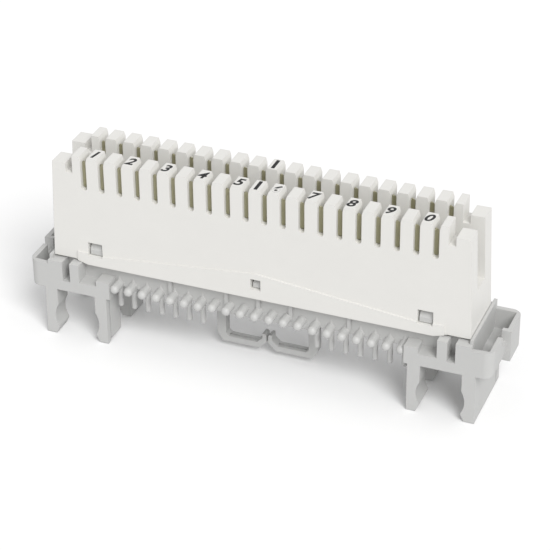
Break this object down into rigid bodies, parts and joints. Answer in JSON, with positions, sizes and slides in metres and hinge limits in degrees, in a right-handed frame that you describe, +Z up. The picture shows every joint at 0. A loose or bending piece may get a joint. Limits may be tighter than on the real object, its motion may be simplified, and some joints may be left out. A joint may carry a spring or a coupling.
{
  "type": "punch down wiring block",
  "caption": "Rod-mounted punch down wiring block: slotted teeth in two rows over insulation-displacement contacts, on a base with rod clips, wire comb and split cable ring.",
  "frame": {"origin": "under the middle of the block, in the plane of its feet", "axes": "+X along the length, +Y from the front row of teeth to the rear row, +Z up out of the teeth"},
  "size_m": [0.1222, 0.0208, 0.0507],
  "materials": {
    "white_plastic": "satin moulded",
    "grey_plastic": "satin moulded",
    "plated_brass": "plated sheet"
  },
  "bodies": {
    "root": {"upper_housing": "white_plastic", "lower_housing": "grey_plastic", "front_contact_01": "plated_brass", "front_contact_02": "plated_brass", "front_contact_03": "plated_brass", "front_contact_04": "plated_brass", "front_contact_05": "plated_brass", "front_contact_06": "plated_brass", "front_contact_07": "plated_brass", "front_contact_08": "plated_brass", "front_contact_09": "plated_brass", "front_contact_10": "plated_brass", "front_contact_11": "plated_brass", "front_contact_12": "plated_brass", "front_contact_13": "plated_brass", "front_contact_14": "plated_brass", "front_contact_15": "plated_brass", "front_contact_16": "plated_brass", "front_contact_17": "plated_brass", "front_contact_18": "plated_brass", "front_contact_19": "plated_brass", "front_contact_20": "plated_brass", "rear_contact_01": "plated_brass", "rear_contact_02": "plated_brass", "rear_contact_03": "plated_brass", "rear_contact_04": "plated_brass", "rear_contact_05": "plated_brass", "rear_contact_06": "plated_brass", "rear_contact_07": "plated_brass", "rear_contact_08": "plated_brass", "rear_contact_09": "plated_brass", "rear_contact_10": "plated_brass", "rear_contact_11": "plated_brass", "rear_contact_12": "plated_brass", "rear_contact_13": "plated_brass", "rear_contact_14": "plated_brass", "rear_contact_15": "plated_brass", "rear_contact_16": "plated_brass", "rear_contact_17": "plated_brass", "rear_contact_18": "plated_brass", "rear_contact_19": "plated_brass", "rear_contact_20": "plated_brass"}
  },
  "joints": []
}
